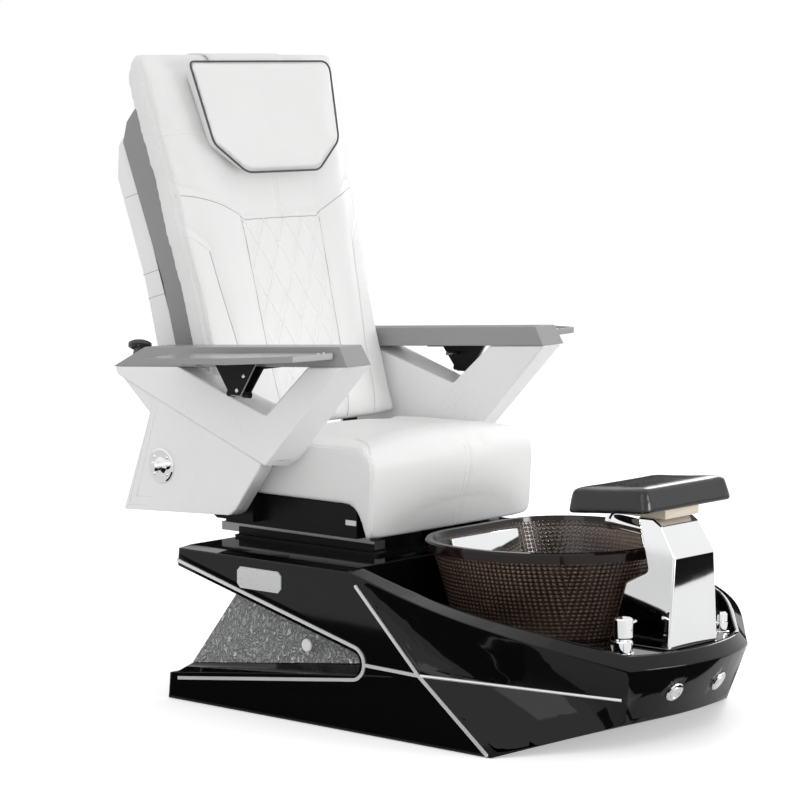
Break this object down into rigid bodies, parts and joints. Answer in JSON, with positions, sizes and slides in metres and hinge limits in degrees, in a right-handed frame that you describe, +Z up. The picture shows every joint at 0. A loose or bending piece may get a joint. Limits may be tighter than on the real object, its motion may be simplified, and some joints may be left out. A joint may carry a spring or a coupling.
{
  "type": "pedicure spa chair",
  "caption": "Reclining massage seat with lift-up arms and fold-down side trays on a sliding frame over a faceted base with a foot basin, tap, hand spray and padded footrest.",
  "frame": {"origin": "on the floor, at the middle of the chair's overall length and width", "axes": "+Z up; the sitter looks along -Y, towards the foot basin; the sitter's right arm is on -X"},
  "size_m": [1.072, 1.4555, 1.4023],
  "materials": {
    "black_gloss_moulding": "high gloss black moulding",
    "bright_trim": "polished bright strip",
    "badge_metal": "brushed bare plate",
    "hammered_grey": "hammered silver grey",
    "frame_black": "satin black coated steel",
    "smoked_resin": "pebbled smoked brown",
    "rim_gloss": "dark polished lip",
    "jet_plastic": "polished silver grey",
    "pump_plastic": "matt black",
    "chrome": "mirror chrome",
    "footrest_vinyl": "gloss black upholstery",
    "bearer_board": "pale board",
    "button_cap": "polished silver",
    "knob_white": "white cap",
    "slide_steel": "black coated steel",
    "runner_steel": "zinc plated steel",
    "shaft_steel": "ground steel",
    "seat_leather": "soft white leatherette",
    "back_leather": "soft white leatherette",
    "pillow_leather": "soft white leatherette",
    "arm_white": "white gloss moulding",
    "cap_grey": "mid grey satin",
    "tray_grey": "mid grey satin",
    "hinge_black": "black coated steel",
    "pod_dark": "dark grey",
    "band_grey": "grey satin side band",
    "shell_white": "white gloss rear cover",
    "carriage_black": "matt black"
  },
  "bodies": {
    "base": {"base_shell": "black_gloss_moulding", "trim_right": "bright_trim", "trim_left": "bright_trim", "badge_plate": "badge_metal", "hammered_panel_right": "hammered_grey", "hammered_panel_left": "hammered_grey", "chassis": "frame_black", "basin": "smoked_resin", "basin_rim": "rim_gloss", "jet_cover": "jet_plastic", "jet_pump": "pump_plastic", "drain_fitting": "chrome", "chrome_column": "chrome", "spout": "chrome", "tap_base": "chrome", "spray_socket": "chrome", "button_bezel_right": "chrome", "button_bezel_left": "chrome", "slide_base": "slide_steel", "slide_drive": "slide_steel"},
    "footrest": {"footrest_bearer": "bearer_board", "footrest_pad": "footrest_vinyl"},
    "tap_neck": {"tap_neck": "chrome"},
    "tap_lever": {"tap_lever": "chrome"},
    "hand_spray": {"hand_spray": "chrome"},
    "air_button_right": {"air_button_right": "button_cap"},
    "air_button_left": {"air_button_left": "button_cap"},
    "panel_knob_right": {"panel_knob_right": "knob_white"},
    "panel_knob_left": {"panel_knob_left": "knob_white"},
    "seat": {"runner_right": "runner_steel", "runner_left": "runner_steel", "drive_nut": "slide_steel", "seat_frame": "frame_black", "recline_shaft": "shaft_steel", "arm_carrier_right": "frame_black", "arm_carrier_left": "frame_black", "seat_cushion": "seat_leather"},
    "back": {"back_frame": "frame_black", "back_pad": "back_leather", "back_band": "band_grey", "back_shell": "shell_white", "pillow_flap": "pillow_leather"},
    "massage_carriage": {"massage_carriage": "carriage_black"},
    "pillow": {"pillow": "pillow_leather"},
    "arm_right": {"arm_panel_right": "arm_white", "arm_cap_right": "cap_grey", "pivot_cover_right": "chrome", "tray_hanger_right": "hinge_black", "control_pod": "pod_dark"},
    "arm_left": {"arm_panel_left": "arm_white", "arm_cap_left": "cap_grey", "pivot_cover_left": "chrome", "tray_hanger_left": "hinge_black"},
    "tray_right": {"side_tray_right": "tray_grey"},
    "tray_left": {"side_tray_left": "tray_grey"},
    "latch_right": {"tray_latch_right": "hinge_black"},
    "latch_left": {"tray_latch_left": "hinge_black"}
  },
  "joints": [
    {"name": "footrest_lift", "type": "slide", "parent": "base", "child": "footrest", "axis": [0, 0, 1], "range_m": [0, 0.04]},
    {"name": "tap_turn", "type": "hinge", "parent": "base", "child": "tap_neck", "pos_m": [-0.168, -0.63, 0.224], "axis": [0, 0, 1], "range_deg": [-50, 50]},
    {"name": "tap_lift", "type": "hinge", "parent": "tap_neck", "child": "tap_lever", "pos_m": [-0.168, -0.63, 0.246], "axis": [0, -1, 0], "range_deg": [0, 12]},
    {"name": "spray_lift", "type": "slide", "parent": "base", "child": "hand_spray", "axis": [0, 0, 1], "range_m": [0, 0.06]},
    {"name": "air_button_right_press", "type": "slide", "parent": "base", "child": "air_button_right", "axis": [0.1262, 0.8714, 0.4741], "range_m": [0, 0.004], "stiffness_N_per_m": 400},
    {"name": "air_button_left_press", "type": "slide", "parent": "base", "child": "air_button_left", "axis": [-0.1262, 0.8714, 0.4741], "range_m": [0, 0.004], "stiffness_N_per_m": 400},
    {"name": "panel_knob_right_turn", "type": "hinge", "parent": "base", "child": "panel_knob_right", "pos_m": [-0.372, 0.042, 0.162], "axis": [-1, 0, 0], "range_deg": [0, 90]},
    {"name": "panel_knob_left_turn", "type": "hinge", "parent": "base", "child": "panel_knob_left", "pos_m": [0.372, 0.042, 0.162], "axis": [-1, 0, 0], "range_deg": [0, 90]},
    {"name": "seat_slide", "type": "slide", "parent": "base", "child": "seat", "axis": [0, 1, 0], "range_m": [0, 0.12]},
    {"name": "back_recline", "type": "hinge", "parent": "seat", "child": "back", "pos_m": [0, 0.44, 0.505], "axis": [-1, 0, 0], "range_deg": [0, 25]},
    {"name": "massage_travel", "type": "slide", "parent": "back", "child": "massage_carriage", "axis": [0, 0.2689, 0.9632], "range_m": [0, 0.36]},
    {"name": "pillow_flip", "type": "hinge", "parent": "back", "child": "pillow", "pos_m": [0, 0.57997, 1.3883], "axis": [-1, 0, 0], "range_deg": [0, 140]},
    {"name": "arm_right_lift", "type": "hinge", "parent": "seat", "child": "arm_right", "pos_m": [-0.29, 0.497, 0.504], "axis": [-1, 0, 0], "range_deg": [0, 45]},
    {"name": "tray_right_fold", "type": "hinge", "parent": "arm_right", "child": "tray_right", "pos_m": [-0.377, 0.244, 0.681], "axis": [0, -1, 0], "range_deg": [0, 90]},
    {"name": "latch_right_pull", "type": "hinge", "parent": "tray_right", "child": "latch_right", "pos_m": [-0.44, 0.305, 0.74786], "axis": [-1, 0, 0], "range_deg": [0, 20], "stiffness_Nm_per_rad": 0.5, "springref_deg": -11.46},
    {"name": "arm_left_lift", "type": "hinge", "parent": "seat", "child": "arm_left", "pos_m": [0.29, 0.497, 0.504], "axis": [-1, 0, 0], "range_deg": [0, 45]},
    {"name": "tray_left_fold", "type": "hinge", "parent": "arm_left", "child": "tray_left", "pos_m": [0.377, 0.244, 0.681], "axis": [0, 1, 0], "range_deg": [0, 90]},
    {"name": "latch_left_pull", "type": "hinge", "parent": "tray_left", "child": "latch_left", "pos_m": [0.44, 0.305, 0.74786], "axis": [-1, 0, 0], "range_deg": [0, 20], "stiffness_Nm_per_rad": 0.5, "springref_deg": -11.46}
  ]
}
